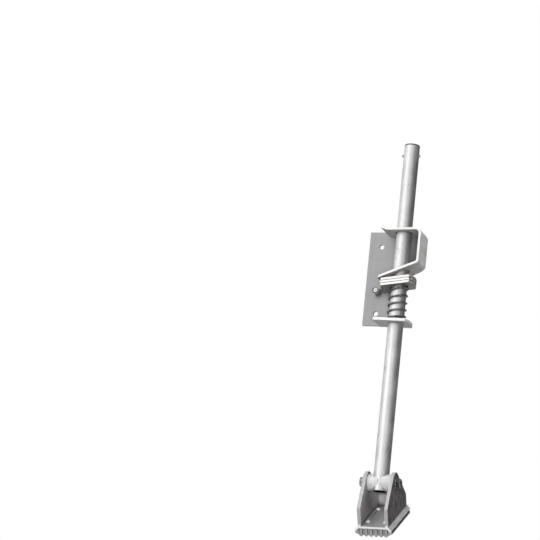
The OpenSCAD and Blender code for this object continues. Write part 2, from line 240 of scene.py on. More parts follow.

# %% [markdown]
# ## Effects that the finishes share
# Real surfaces vary: drawn metal has fine streaks along the way it was pulled, sheet and castings
# have soft blotches, and edges are rubbed bright. Corners are darkened with painted shade. Each
# effect is one node group with named inputs, built once and placed in each material with its own
# values.

# %% Group helper
def new_group(name, takes, gives):
    group = bpy.data.node_groups.new(name, "ShaderNodeTree")
    for socket, kind, value in takes:
        made = group.interface.new_socket(name=socket, in_out="INPUT",
                                          socket_type="NodeSocket" + kind)
        made.default_value = value
    for socket, kind in gives:
        group.interface.new_socket(name=socket, in_out="OUTPUT",
                                   socket_type="NodeSocket" + kind)
    return group, group.nodes.new("NodeGroupInput"), group.nodes.new("NodeGroupOutput")

def noise(tree, scale, detail, roughness=0.5):
    return add(tree, "ShaderNodeTexNoise", Scale=scale, Detail=detail, Roughness=roughness)

# %% [markdown]
# ### Streaks
# Noise squeezed across the grain and pulled out along it. The input says how many waves there are
# in a metre along each axis, so one group serves a tube, a strip and an extrusion. Noise keeps
# near its middle grey, so the tone is pulled apart until it runs from 0 to 1.

# %% Streaks
streaks, given, gives = new_group(
    "streaks", [("Waves per metre", "Vector", (400, 400, 6))],
    [("Tone", "Float"), ("Height", "Float")])
place = add(streaks, "ShaderNodeTexCoord")
stretch = add(streaks, "ShaderNodeVectorMath", operation="MULTIPLY")
broad = noise(streaks, 0.35, 2)
fine = noise(streaks, 2.0, 3, 0.6)
half = add(streaks, "ShaderNodeMath", operation="MULTIPLY")
half.inputs[1].default_value = 0.5
both = add(streaks, "ShaderNodeMath", operation="MULTIPLY_ADD")
both.inputs[1].default_value = 0.5
spread = add(streaks, "ShaderNodeMapRange", **{"From Min": 0.38, "From Max": 0.62})
join(streaks, place, "Object", stretch, 0)
join(streaks, given, "Waves per metre", stretch, 1)
join(streaks, stretch, 0, broad, "Vector")
join(streaks, stretch, 0, fine, "Vector")
join(streaks, broad, 0, half, 0)
join(streaks, fine, 0, both, 0)
join(streaks, half, 0, both, 2)
join(streaks, both, 0, spread, "Value")
join(streaks, spread, 0, gives, "Tone")
join(streaks, fine, 0, gives, "Height")
print("group", streaks.name)

# %% [markdown]
# ### Blotches
# Cloudy patches of one size with a finer speckle over them, for rolled sheet, plating, castings
# and rubber. Here too the tone is pulled apart round its middle.

# %% Blotches
blotches, given, gives = new_group(
    "blotches", [("Patches per metre", "Float", 60.0), ("Speckle", "Float", 0.3)],
    [("Tone", "Float"), ("Height", "Float")])
place = add(blotches, "ShaderNodeTexCoord")
cloud = noise(blotches, 60, 3, 0.6)
times = add(blotches, "ShaderNodeMath", operation="MULTIPLY")
times.inputs[1].default_value = 12
speck = noise(blotches, 700, 2, 0.7)
blend = add(blotches, "ShaderNodeMix")
spread = add(blotches, "ShaderNodeMapRange", **{"From Min": 0.40, "From Max": 0.60})
join(blotches, place, "Object", cloud, "Vector")
join(blotches, place, "Object", speck, "Vector")
join(blotches, given, "Patches per metre", cloud, "Scale")
join(blotches, given, "Patches per metre", times, 0)
join(blotches, times, 0, speck, "Scale")
join(blotches, given, "Speckle", blend, "Factor")
join(blotches, cloud, 0, blend, "A")
join(blotches, speck, 0, blend, "B")
join(blotches, blend, 0, spread, "Value")
join(blotches, spread, 0, gives, "Tone")
join(blotches, speck, 0, gives, "Height")
print("group", blotches.name)

# %% [markdown]
# ### Rubbed edges and corners darkened with painted shade
# The Bevel node rounds the normal near an edge. Where that rounded normal leaves the true one,
# the surface is an edge. Ambient Occlusion says how shut-in a point is. Both are only masks here:
# the materials decide what to do with them.

# %% Edges and corners
wear_and_shade, given, gives = new_group(
    "wear_and_shade", [("Edge width", "Float", 0.0008), ("Reach", "Float", 0.006)],
    [("Edge", "Float"), ("Corner", "Float")])
rounded = add(wear_and_shade, "ShaderNodeBevel", samples=4)
true = add(wear_and_shade, "ShaderNodeNewGeometry")
agree = add(wear_and_shade, "ShaderNodeVectorMath", operation="DOT_PRODUCT")
edge = add(wear_and_shade, "ShaderNodeMapRange", **{"From Min": 0.995, "From Max": 0.85})
# the Corner mask from Ambient Occlusion is used by the finishes to paint shade into corners
shut = add(wear_and_shade, "ShaderNodeAmbientOcclusion", samples=4)
corner = add(wear_and_shade, "ShaderNodeMapRange", **{"From Min": 0.75, "From Max": 0.2})
join(wear_and_shade, given, "Edge width", rounded, "Radius")
join(wear_and_shade, given, "Reach", shut, "Distance")
join(wear_and_shade, rounded, 0, agree, 0)
join(wear_and_shade, true, "Normal", agree, 1)
join(wear_and_shade, agree, "Value", edge, "Value")
join(wear_and_shade, shut, "AO", corner, "Value")
join(wear_and_shade, edge, 0, gives, "Edge")
join(wear_and_shade, corner, 0, gives, "Corner")
print("group", wear_and_shade.name)

# %% [markdown]
# ### Sheared faces
# The broad faces of sheet are dull from the rolls. The faces that a blade or saw has cut are
# bright. Both are told apart by the way a face looks: this mask is 1 where the face looks along
# the given direction, forward or backward.

# %% Facing
facing, given, gives = new_group(
    "facing", [("Direction", "Vector", (0, 1, 0))], [("Mask", "Float")])
place = add(facing, "ShaderNodeTexCoord")
along = add(facing, "ShaderNodeVectorMath", operation="DOT_PRODUCT")
size = add(facing, "ShaderNodeMath", operation="ABSOLUTE")
ramp = add(facing, "ShaderNodeMapRange", **{"From Min": 0.6, "From Max": 0.9})
join(facing, place, "Normal", along, 0)
join(facing, given, "Direction", along, 1)
join(facing, along, "Value", size, 0)
join(facing, size, 0, ramp, "Value")
join(facing, ramp, 0, gives, "Mask")
print("group", facing.name)

# %% [markdown]
# ### Inside and outside
# The bore of a tube is painted dark as shade, and the inner faces of a casting are not rubbed
# like the outer ones. This mask is 1 where a point is nearer to a centre than the radius. The ways
# input says which directions count: across the axis for a bore, one direction for two facing walls.

# %% Near
near, given, gives = new_group(
    "near", [("Centre", "Vector", (0, 0, 0)), ("Ways", "Vector", (1, 1, 0)),
             ("Radius", "Float", 0.01)], [("Mask", "Float")])
place = add(near, "ShaderNodeTexCoord")
apart = add(near, "ShaderNodeVectorMath", operation="SUBTRACT")
flat = add(near, "ShaderNodeVectorMath", operation="MULTIPLY")
far = add(near, "ShaderNodeVectorMath", operation="LENGTH")
under = add(near, "ShaderNodeMath", operation="LESS_THAN")
join(near, place, "Object", apart, 0)
join(near, given, "Centre", apart, 1)
join(near, apart, 0, flat, 0)
join(near, given, "Ways", flat, 1)
join(near, flat, 0, far, 0)
join(near, far, "Value", under, 0)
join(near, given, "Radius", under, 1)
join(near, under, 0, gives, "Mask")
print("group", near.name)

# %% [markdown]
# ### Grooves
# Where two pressed sheets lie on each other, shade falls in the groove between their rounded
# edges, and it is painted there. The mask is 1 in a thin layer on both sides of a middle plane, at
# a set height from it.

# %% Grooves
grooves, given, gives = new_group(
    "grooves", [("Centre", "Vector", (0, 0, 0)), ("Across", "Vector", (0, 0, 1)),
                ("Height", "Float", 0.002), ("Width", "Float", 0.0003)], [("Mask", "Float")])
place = add(grooves, "ShaderNodeTexCoord")
apart = add(grooves, "ShaderNodeVectorMath", operation="SUBTRACT")
level = add(grooves, "ShaderNodeVectorMath", operation="DOT_PRODUCT")
above = add(grooves, "ShaderNodeMath", operation="ABSOLUTE")
off = add(grooves, "ShaderNodeMath", operation="SUBTRACT")
away = add(grooves, "ShaderNodeMath", operation="ABSOLUTE")
share = add(grooves, "ShaderNodeMath", operation="DIVIDE")
fade = add(grooves, "ShaderNodeMapRange", **{"From Min": 1.0, "From Max": 0.6})
join(grooves, place, "Object", apart, 0)
join(grooves, given, "Centre", apart, 1)
join(grooves, apart, 0, level, 0)
join(grooves, given, "Across", level, 1)
join(grooves, level, "Value", above, 0)
join(grooves, above, 0, off, 0)
join(grooves, given, "Height", off, 1)
join(grooves, off, 0, away, 0)
join(grooves, away, 0, share, 0)
join(grooves, given, "Width", share, 1)
join(grooves, share, 0, fade, "Value")
join(grooves, fade, 0, gives, "Mask")
print("group", grooves.name)

# %% [markdown]
# ## The finishes
# Every finish is mixed the same way: a dark and a light tone by the blotches, streaks and rare
# dark scuffs laid over, a second tone on the cut faces, bright edges, and painted shade in the
# corners and grooves. What differs is the values: most say what the metal went through, and the
# corner and groove values set how much shade is painted. An effect whose value is left out is not
# built. The mask of the cut faces can also be turned over, where it is easier to say which way the
# uncut faces look. Colours are linear, and the shader itself stays in each material, because the
# groups only give masks, tones and heights.

# %% A finish mixer
def tone_mix(tree, mask, mask_out, a, b, strength=1.0):
    blend = add(tree, "ShaderNodeMix", data_type="RGBA")
    if strength == 1.0:
        join(tree, mask, mask_out, blend, 0)
    else:
        scale = add(tree, "ShaderNodeMath", operation="MULTIPLY")
        scale.inputs[1].default_value = strength
        join(tree, mask, mask_out, scale, 0)
        join(tree, scale, 0, blend, 0)
    for socket, value in ((6, a), (7, b)):
        if isinstance(value, tuple):
            blend.inputs[socket].default_value = (*value, 1)
        else:
            tree.links.new(value, blend.inputs[socket])
    return blend.outputs[2]

def use(tree, group, **values):
    node = tree.nodes.new("ShaderNodeGroup")
    node.node_tree = group
    for name, value in values.items():
        node.inputs[name.replace("_", " ")].default_value = value
    return node

scuff_tone, scuff_share = (0.12, 0.115, 0.11), 0.4
edge_width, dent_depth = 0.0006, 0.0002

def finish(name, dark, light, metallic, rough, patches=60.0, speckle=0.3, waves=None,
           streak=0.25, scuffs=None, cut=None, cut_way=(0, 1, 0), cut_elsewhere=False, edge=0.5,
           edge_tone=(0.85, 0.85, 0.85), corner_shade=0.5, shade_tone=(0.05, 0.048, 0.045), reach=0.006,
           bump=0.15, specular=0.5, inner=None, inner_ways=(1, 1, 0), inner_radius=0.01,
           inner_share=1.0, inner_cut=None, layers=None):
    material = bpy.data.materials.new(name)
    tree = new_tree(material)
    metal = add(tree, "ShaderNodeBsdfPrincipled", Metallic=metallic)
    metal.inputs["Specular IOR Level"].default_value = specular
    out = add(tree, "ShaderNodeOutputMaterial")
    cloud = use(tree, blotches, Patches_per_metre=patches, Speckle=speckle)
    colour = tone_mix(tree, cloud, "Tone", dark, light)
    relief = cloud
    if waves:
        lines = use(tree, streaks, Waves_per_metre=waves)
        darker = tuple(c * (1 - streak) for c in dark)
        colour = tone_mix(tree, lines, "Tone", colour, darker, streak * 2)
        relief = lines
    if scuffs:
        marks = use(tree, streaks, Waves_per_metre=scuffs)
        rare = add(tree, "ShaderNodeMapRange", **{"From Min": 0.9, "From Max": 1.0})
        join(tree, marks, "Tone", rare, "Value")
        colour = tone_mix(tree, rare, 0, colour, scuff_tone, scuff_share)
    # on the tube this paints the bore dark as shade
    if inner:
        inside = use(tree, near, Centre=tuple(leg), Ways=inner_ways, Radius=inner_radius)
        colour = tone_mix(tree, inside, "Mask", colour, inner, inner_share)
    if cut:
        side, socket = use(tree, facing, Direction=cut_way), "Mask"
        if cut_elsewhere:
            other = add(tree, "ShaderNodeMath", operation="SUBTRACT")
            other.inputs[0].default_value = 1
            join(tree, side, socket, other, 1)
            side, socket = other, 0
        if inner_cut:
            cut = tone_mix(tree, inside, "Mask", cut, inner_cut)
        colour = tone_mix(tree, side, socket, colour, cut)
    edge_and_corner = use(tree, wear_and_shade, Edge_width=edge_width, Reach=reach)
    if edge:
        colour = tone_mix(tree, edge_and_corner, "Edge", colour, edge_tone, edge)
    # painted shade: corners and creases are darkened by the Ambient Occlusion mask
    if corner_shade:
        colour = tone_mix(tree, edge_and_corner, "Corner", colour, shade_tone, corner_shade)
    # painted shade: the grooves between the stacked plates are darkened
    if layers:
        groove_shade = use(tree, grooves, **layers)
        colour = tone_mix(tree, groove_shade, "Mask", colour, shade_tone)
    tree.links.new(colour, metal.inputs["Base Color"])
    polish = add(tree, "ShaderNodeMapRange", **{"To Min": rough[0], "To Max": rough[1]})
    join(tree, cloud, "Tone", polish, "Value")
    join(tree, polish, 0, metal, "Roughness")
    dents = add(tree, "ShaderNodeBump", Strength=bump, Distance=dent_depth)
    join(tree, relief, "Height", dents, "Height")
    join(tree, dents, 0, metal, "Normal")
    join(tree, metal, 0, out, 0)
    return material

# %% [markdown]
# ### Aluminium finishes
# The leg is drawn tube: bright, with fine lines along its length, a few short dark scuffs, and a
# bore painted dark as shade. The back plate is cut from rolled sheet, duller and cloudy. The cradle
# of the shoe has dark, mottled outer faces, lighter inner ones and sawn edges, so its cut faces are
# all that look any other way than sideways. The extruded base under it shows its cut ends almost
# white, and both are darkened with painted shade in the deep corners between them.

# %% Aluminium
foot_along = (0, math.cos(pitch), math.sin(pitch))
finishes = {
    # the tube's inner tone paints its bore dark: painted shade
    "tube": finish("drawn_tube", (0.57, 0.567, 0.573), (0.69, 0.686, 0.692), 0.9, (0.46, 0.54),
                   patches=30, speckle=0.2, waves=(420, 420, 5), streak=0.3, edge=0.3, corner_shade=0.5,
                   inner=(0.03, 0.03, 0.03), inner_radius=9.6 * mm, scuffs=(430, 430, 130)),
    "plate": finish("rolled_plate", (0.36, 0.36, 0.365), (0.45, 0.45, 0.455), 0.25, (0.5, 0.65),
                    patches=45, waves=(260, 260, 14), streak=0.2, edge=0.5, corner_shade=0.45),
    "cast": finish("mottled_cradle", (0.012, 0.009, 0.01), (0.19, 0.177, 0.181), 0.2, (0.5, 0.65),
                   patches=130, speckle=0.5, cut=(0.43, 0.425, 0.43), cut_way=(1, 0, 0),
                   cut_elsewhere=True, edge=0.35, corner_shade=0.95, reach=0.009, bump=0.35,
                   inner=(0.64, 0.61, 0.615), inner_ways=(1, 0, 0), inner_radius=17.6 * mm,
                   inner_share=0.35, inner_cut=(0.75, 0.745, 0.75)),
    "base": finish("extruded_base", (0.44, 0.44, 0.445), (0.66, 0.66, 0.665), 0.3, (0.35, 0.5),
                   patches=90, waves=(500, 12, 12), streak=0.3, cut=(0.92, 0.91, 0.90),
                   cut_way=foot_along, edge=0.5, corner_shade=0.97, reach=0.009, inner=(0.37, 0.37, 0.375),
                   inner_ways=(1, 0, 0), inner_radius=23 * mm, inner_share=0.85),
    # the weld beads are painted near white: a painted highlight for the glints at the ears' toes
    "weld": finish("weld_metal", (0.72, 0.72, 0.72), (0.95, 0.95, 0.95), 0.1, (0.3, 0.5),
                   patches=300, edge=0.2, corner_shade=0.2, bump=0.3)}
print("aluminium:", ", ".join(finishes))

# %% [markdown]
# ### Steel, rubber and plastic
# The strip, the flange and the locking plates are plated steel, and their sheared edges shine.
# The locking plates are darker on their broad faces, and the grooves between them are darkened as
# painted shade. The bolts are glossier and darker, the shoe's nut is blackened, the plate's nut is
# painted black as shade, and the spring is dark oiled wire. The saddles are milky nylon, the plug
# is black plastic, and the pad is rubber painted grey on its front and back faces and near black on
# its sides, as painted light and shade. At the end every CAD part gets the finish of its material
# slot.

# %% Steel, rubber and plastic
lock_thick = 3.85 * mm
cant = math.radians(8)                             # the stack of locking plates leans by this much
lock_centre = leg + Vector((0, 0, -9.95)) * mm     # round its middle, on the leg's axis
lock_across = Vector((-math.sin(cant), 0, math.cos(cant)))
finishes.update({
    "strip": finish("plated_strip", (0.46, 0.46, 0.46), (0.65, 0.65, 0.64), 0.1, (0.4, 0.55),
                    patches=70, waves=(10, 500, 10), streak=0.12, cut=(0.97, 0.96, 0.93),
                    edge=0.5, edge_tone=(0.86, 0.86, 0.84), corner_shade=0.85, reach=0.004, specular=0.3),
    # the lock's layers paint shade into the grooves between the three plates
    "lock": finish("blanked_plate", (0.22, 0.215, 0.21), (0.34, 0.335, 0.33), 0.1, (0.4, 0.55),
                   patches=90, cut=(0.98, 0.97, 0.94), edge=0.2, corner_shade=0.9,
                   shade_tone=(0.09, 0.075, 0.06), reach=0.004, specular=0.3,
                   layers={"Centre": tuple(lock_centre), "Across": tuple(lock_across),
                           "Height": lock_thick / 2, "Width": 0.48 * mm}),
    "bolt": finish("plated_bolt", (0.20, 0.20, 0.20), (0.42, 0.42, 0.43), 0.85, (0.22, 0.36),
                   patches=250, edge=0.5, corner_shade=0.7),
    "nut": finish("blackened_nut", (0.03, 0.03, 0.032), (0.11, 0.11, 0.113), 0.6, (0.2, 0.32),
                  patches=250, edge=0.7, corner_shade=0.6),
    "spring": finish("spring_wire", (0.10, 0.10, 0.105), (0.20, 0.20, 0.205), 0.8, (0.25, 0.36),
                     patches=200, edge=0, corner_shade=0.6),
    "plug": finish("moulded_plug", (0.025, 0.025, 0.026), (0.05, 0.05, 0.05), 0, (0.4, 0.55),
                   patches=220, edge=0.1, edge_tone=(0.2, 0.2, 0.2), corner_shade=0.2),
    "nylon": finish("nylon", (0.56, 0.56, 0.555), (0.64, 0.64, 0.635), 0, (0.4, 0.5), patches=90,
                    speckle=0.2, edge=0.2, edge_tone=(0.9, 0.9, 0.9), corner_shade=0.35,
                    shade_tone=(0.3, 0.3, 0.29)),
    # painted light and shade: the pad's front and back faces are grey, its sides near black
    "pad": finish("ribbed_rubber", (0.045, 0.045, 0.047), (0.085, 0.085, 0.087), 0, (0.55, 0.8),
                  patches=260, speckle=0.5, cut=(0.42, 0.415, 0.41), cut_way=foot_along,
                  edge=0.3, edge_tone=(0.3, 0.3, 0.3), corner_shade=0.7, shade_tone=(0.01, 0.01, 0.01),
                  bump=0.5)})
slots = {row["node"]: row["material_slot"] for row in frame["record"]["subparts"]}
for name, node in frame["nodes"].items():
    node.data.materials.clear()
    node.data.materials.append(finishes[slots[name]])
print("finishes on", len(frame["nodes"]), "CAD parts")

# %% [markdown]
# ## Edges that a hand could touch
# Nothing made in a press or a mould has a perfectly sharp edge, and the thin highlight on a
# rounded edge is what makes metal look solid. The CAD edges are sharp, so a Bevel modifier rounds
# every edge that turns by more than 30 degrees. Every piece passes through one function, which
# gives it the finish of its slot, or the look it is given, and hides the CAD part it stands for.

# %% Finish a piece
same_place = 0.002 * mm
bodies = {node: body for body, nodes in frame["record"]["behaviour"]["bodies"].items()
          for node in nodes}

def is_closed(bm):
    return all(len(edge.link_faces) == 2 for edge in bm.edges)

def finished(bm, name, node, rounding=0.0, steps=2, smooth_to=35, look=None):
    piece = plain_mesh(name, bm)
    piece.data.materials.append(finishes[look or slots[node]])
    piece.data.shade_smooth()
    piece.data.set_sharp_from_angle(angle=math.radians(smooth_to))
    if rounding:
        soft_edge = piece.modifiers.new("rounding", "BEVEL")
        soft_edge.width = rounding * mm
        soft_edge.segments = steps
        soft_edge.limit_method = "ANGLE"
        soft_edge.angle_limit = math.radians(30)
        soft_edge.harden_normals = True
    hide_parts(node)
    return piece

print("bodies:", ", ".join(sorted(set(bodies.values()))))

# %% [markdown]
# ### Softened CAD parts
# The sheets, the tube and the cast and moulded parts already have the right shape. Each is copied,
# its loose triangles are joined, a face that lies hidden inside the solid is removed, and flat
# neighbours are merged into whole faces, so that only real edges are rounded.

# %% Soften the parts
roundings = {"back_plate": 0.4, "guard_strip": 0.6, "lower_flange": 0.7, "leg_tube": 0.3,
             "top_plug": 0.6, "stop_pin": 0.15, "left_saddle": 0.5, "right_saddle": 0.5,
             "pivot_sleeve": 0.3, "shoe_cradle": 0.8, "shoe_base": 0.4, "tread_pad": 0.7,
             "pivot_washers": 0.2, "plate_washer": 0.2}
flat_within = math.radians(0.4)

def softened(node, rounding):
    bm = bmesh.new()
    bm.from_mesh(frame["nodes"][node].data)
    bmesh.ops.remove_doubles(bm, verts=bm.verts, dist=same_place)
    inner = [face for face in bm.faces
             if sum(len(edge.link_faces) > 2 for edge in face.edges) > 1]
    bmesh.ops.delete(bm, geom=inner, context="FACES")
    bmesh.ops.dissolve_limit(bm, angle_limit=flat_within, verts=bm.verts, edges=bm.edges)
    faces, closed = len(bm.faces), is_closed(bm)
    piece = finished(bm, node + "_soft", node, rounding)
    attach(piece, bodies[node])
    print(f"{node}: {faces} faces, {len(inner)} inner ones gone, closed {closed},",
          f"edges rounded {rounding} mm")

for node, rounding in roundings.items():
    softened(node, rounding)

# %% [markdown]
# ## The locking plates
# Each plate is blanked from thick strip in a press: a tongue whose outer end is a shallow arc, a
# slanted inner end, a large hole for the leg and a small one near its inner end. The outline and
# the holes are drawn as closed loops and filled as one face, which is then raised to a plate. The
# stack leans, so each plate is also shifted until the large holes stand above each other.

# %% Sheet parts
def tongue_loop(bm, inner, slant, outer, radius, front, back):
    halfway, steps, straight = (front + back) / 2, 24, 1 * mm
    swing = math.asin((back - front) / 2 / radius)
    rim = [(inner + slant, front), (inner, back - straight), (inner, back)]
    for k in range(steps + 1):
        a = swing * (1 - 2 * k / steps)
        rim.append((outer - radius + radius * math.cos(a), halfway + radius * math.sin(a)))
    verts = [bm.verts.new((x, y, 0)) for x, y in rim]
    for pair in zip(verts, verts[1:] + verts[:1]):
        bm.edges.new(pair)

def round_hole(bm, x, y, radius, segments=64):
    bmesh.ops.create_circle(bm, cap_ends=False, segments=segments, radius=radius,
                            matrix=Matrix.Translation((x, y, 0)))

def raise_sheet(bm, thickness):
    bmesh.ops.triangle_fill(bm, use_beauty=True, use_dissolve=False, edges=bm.edges[:])
    bmesh.ops.dissolve_limit(bm, angle_limit=0.01, verts=bm.verts, edges=bm.edges)
    grown = bmesh.ops.extrude_face_region(bm, geom=bm.faces[:])["geom"]
    bmesh.ops.translate(bm, verts=corners_of(grown), vec=(0, 0, thickness))

def whole(bm):
    """Join what lies in one place, turn all faces outward, and say if the mesh is closed."""
    bmesh.ops.remove_doubles(bm, verts=bm.verts, dist=same_place)
    bmesh.ops.recalc_face_normals(bm, faces=bm.faces)
    return is_closed(bm)

# %% [markdown]
# ### Three plates
# All three come from the same tool. Only the middle one stands out a little at its inner end, as
# its toe says. Their edges are well rounded and in more steps than the others, because a press
# rolls thick strip over at its rim and three of these rims lie side by side in full view.

# %% Three plates
stack = Matrix.Translation(lock_centre) @ Matrix.Rotation(-cant, 4, "Y")
inner_end, end_slant, outer_end, end_radius = -29, 6 * mm, 23.6 * mm, 42 * mm
front, back = -20 * mm, 19 * mm
leg_hole, small_hole, small_x, small_y = 12.4 * mm, 1.9 * mm, -23 * mm, -2.5 * mm
toes = {"lock_plate_bottom": 0, "lock_plate_middle": 1.1, "lock_plate_top": 0}

for level, (node, toe) in enumerate(toes.items()):
    bm = bmesh.new()
    tongue_loop(bm, (inner_end - toe) * mm, end_slant, outer_end, end_radius, front, back)
    round_hole(bm, 0, 0, leg_hole)
    round_hole(bm, small_x, small_y, small_hole, 24)
    raise_sheet(bm, lock_thick)
    closed = whole(bm)
    shift = Vector(((level - 1) * lock_thick * math.tan(cant), 0, (level - 1.5) * lock_thick))
    bmesh.ops.transform(bm, verts=bm.verts, matrix=stack @ Matrix.Translation(shift))
    piece = finished(bm, node + "_blank", node, rounding=0.7, steps=3, look="lock")
    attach(piece, "lock_plates")
    print(f"{node}: closed {closed}, {len(piece.data.polygons)} faces")

# %% [markdown]
# ## The release spring
# A compression spring is wound from round wire: a closed end turn that sits flat, open working
# turns, and another closed turn. Spin makes it the same way. One ring of the wire's section turns
# round the leg and climbs a little with each step, and each stage climbs by its own pitch. The
# spring stands on the bracket.

# %% Spring
wire, coil = 1.2 * mm, 12.9 * mm                # radii of the wire and of the coil
foot_z, head_z = -64.1 * mm, -19.05 * mm        # the wire's middle at both ends
lead = 2.45 * mm                                # climb of a closed turn, hardly over the wire
foot_turns, open_turns, head_turns = 1, 4.078, 0.67
open_rise = head_z - foot_z - (foot_turns + head_turns) * lead
start_turn, steps_per_turn = -449.4, 40

bm = bmesh.new()
start = (Matrix.Rotation(math.radians(start_turn), 4, "Z")
         @ Matrix.Translation((coil, 0, foot_z)) @ Matrix.Rotation(math.radians(90), 4, "X"))
bmesh.ops.create_circle(bm, cap_ends=True, segments=12, radius=wire, matrix=start)
ring = bm.edges[:]
for turns, rise in ((foot_turns, lead), (open_turns, open_rise), (head_turns, head_turns * lead)):
    steps = round(turns * steps_per_turn)
    wound = bmesh.ops.spin(bm, geom=ring, cent=(0, 0, 0), axis=(0, 0, 1), steps=steps,
                           dvec=(0, 0, rise / steps), angle=math.radians(360 * turns))
    ring = edges_of(wound["geom_last"])
bmesh.ops.contextual_create(bm, geom=ring)
print("spring wound with", foot_turns + open_turns + head_turns, "turns")

# %% [markdown]
# ### Leaning the upper end
# From a little under the head the turns lean over more and more, until the last one lies almost
# along the canted plates. The far side of the coil stays where it is.

# %% Lean and place the spring
lean_below, lean_over, lean_part = 12 * mm, 9.5 * mm, 0.75
for v in bm.verts:
    share = min(max((v.co.z - head_z + lean_below) / lean_over, 0), 1)
    v.co.z += share * lean_part * math.tan(cant) * (v.co.x + coil)
bmesh.ops.translate(bm, verts=bm.verts, vec=leg)
closed = whole(bm)
spring = finished(bm, "wound_spring", "release_spring", smooth_to=60)
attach(spring, "bracket")
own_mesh(spring)
print("spring closed", closed, "faces", len(spring.data.polygons))

# %% [markdown]
# ## Nuts, heads and threads
# A hexagon is cut from bar and its corners are turned off at a slant, which leaves the curved
# chamfers that catch the light. Here a slanted plane cuts each corner three times.

# %% Hexagon
def cut_off(bm, at, outward):
    """Cut off what lies beyond a plane and close the hole."""
    cut = bmesh.ops.bisect_plane(bm, geom=bm.verts[:] + bm.edges[:] + bm.faces[:],
                                 plane_co=at, plane_no=outward, clear_outer=True)
    rim = edges_of(cut["geom_cut"])
    if rim:
        bmesh.ops.edgenet_fill(bm, edges=rim)

chamfer_out, chamfer_up = 0.5, 0.866      # the cutting planes lean by 30 degrees

def hexagon(bm, across, height, bore=0.0):
    radius = across / 2 / math.cos(math.radians(30))
    bmesh.ops.create_circle(bm, cap_ends=False, segments=6, radius=radius)
    if bore:
        round_hole(bm, 0, 0, bore / 2, 32)
    raise_sheet(bm, height)
    points = [math.atan2(v.co.y, v.co.x) for v in bm.verts
              if v.co.length > across * 0.52 and v.co.z < height / 2]
    for point in points:
        for turn in (-15, 0, 15):
            a = point + math.radians(turn)
            cut_off(bm, Vector((math.cos(a) * across / 2, math.sin(a) * across / 2, height)),
                    Vector((math.cos(a) * chamfer_out, math.sin(a) * chamfer_out, chamfer_up)))

# %% [markdown]
# ### Threads
# A thread is a zigzag turned once round while it climbs by one pitch, so the turns join into one
# true helix. It is made too long at both ends and then cut off square.

# %% Thread
thread_profile = ((0, 1), (0.4, 0), (0.6, 0))      # share of the lead, share of the depth

def threaded(bm, radius, z0, z1, lead, depth):
    low = z0 - 2 * lead
    count = int((z1 - z0) / lead) + 4
    column = []
    for k in range(count):
        for z, cut_in in thread_profile:
            column.append(bm.verts.new((radius - cut_in * depth, 0, low + (k + z) * lead)))
    edges = [bm.edges.new(pair) for pair in zip(column, column[1:])]
    steps = 36
    bmesh.ops.spin(bm, geom=column + edges, cent=(0, 0, 0), axis=(0, 0, 1), steps=steps,
                   dvec=(0, 0, lead / steps), angle=math.radians(360))
    bmesh.ops.remove_doubles(bm, verts=bm.verts, dist=0.01 * mm)
    for z, outward in ((z0, -1), (z1, 1)):
        cut_off(bm, (0, 0, z), (0, 0, outward))

# %% [markdown]
# ### Turned parts
# Rods and collars are turned on a lathe. A bolt or a nut is several closed shapes that touch or
# overlap, so they are gathered into one mesh, each with a matrix that puts it in its place.

# %% Helpers for turned parts
def gather(pieces):
    joined = bmesh.new()
    for bm, place in pieces:
        bmesh.ops.transform(bm, matrix=place, verts=bm.verts)
        mesh = bpy.data.meshes.new("part")
        bm.to_mesh(mesh)
        bm.free()
        joined.from_mesh(mesh)
        bpy.data.meshes.remove(mesh)
    bmesh.ops.dissolve_degenerate(joined, edges=joined.edges, dist=0.001 * mm)
    bmesh.ops.recalc_face_normals(joined, faces=joined.faces)
    return joined

def rod(bm, radius, z0, z1, segments=48):
    bmesh.ops.create_cone(bm, cap_ends=True, segments=segments, radius1=radius, radius2=radius,
                          depth=z1 - z0, matrix=Matrix.Translation((0, 0, (z0 + z1) / 2)))

def lathe(bm, outline):
    corners = [bm.verts.new((r, 0, z)) for r, z in outline]
    edges = [bm.edges.new(pair) for pair in zip(corners, corners[1:])]
    bmesh.ops.spin(bm, geom=corners + edges, cent=(0, 0, 0), axis=(0, 0, 1), steps=48,
                   angle=math.radians(360), use_merge=True)
    bmesh.ops.remove_doubles(bm, verts=bm.verts, dist=0.001 * mm)

def raised(z):
    return Matrix.Translation((0, 0, z))

turned_over = Matrix.Rotation(math.radians(180), 4, "X")

# %% [markdown]
# ## The bolts
# The pivot bolt crosses the shoe, the saddles and the leg, with its head on the inner side and a
# lock nut with a crimped collar on the outer side. A smaller bolt goes through the back plate
# from behind. Each is built upright at the origin: the head hangs under z0, and the shank runs a
# little way into the head and into the thread, so that no gap shows.

# %% Bolts and nuts
def bolt(across, head, radius, z0, z1, thread_from, lead):
    top, shank, thread = bmesh.new(), bmesh.new(), bmesh.new()
    hexagon(top, across, head)
    rod(shank, radius * 0.985, z0 - 0.2 * mm, thread_from + 0.5 * mm)
    threaded(thread, radius, thread_from, z1, lead, depth=lead * 0.5)
    return [(top, raised(z0) @ turned_over), (shank, raised(0)), (thread, raised(0))]

def lock_nut(across, height, collar, collar_z, bore):
    body, crimp = bmesh.new(), bmesh.new()
    hexagon(body, across, height, bore)
    # the collar's outline: up its outer wall, over the crimp, down its bore and back
    lathe(crimp, [(collar * 0.96, height - 0.6 * mm), (collar * 0.98, height + 0.2 * mm),
                  (collar * 0.93, collar_z - 0.25 * mm), (collar * 0.84, collar_z),
                  (bore * 0.62, collar_z - 0.15 * mm), (bore * 0.55, collar_z - 0.6 * mm),
                  (bore * 0.53, height - 0.6 * mm), (collar * 0.96, height - 0.6 * mm)])
    return [(body, raised(0)), (crimp, raised(0))]

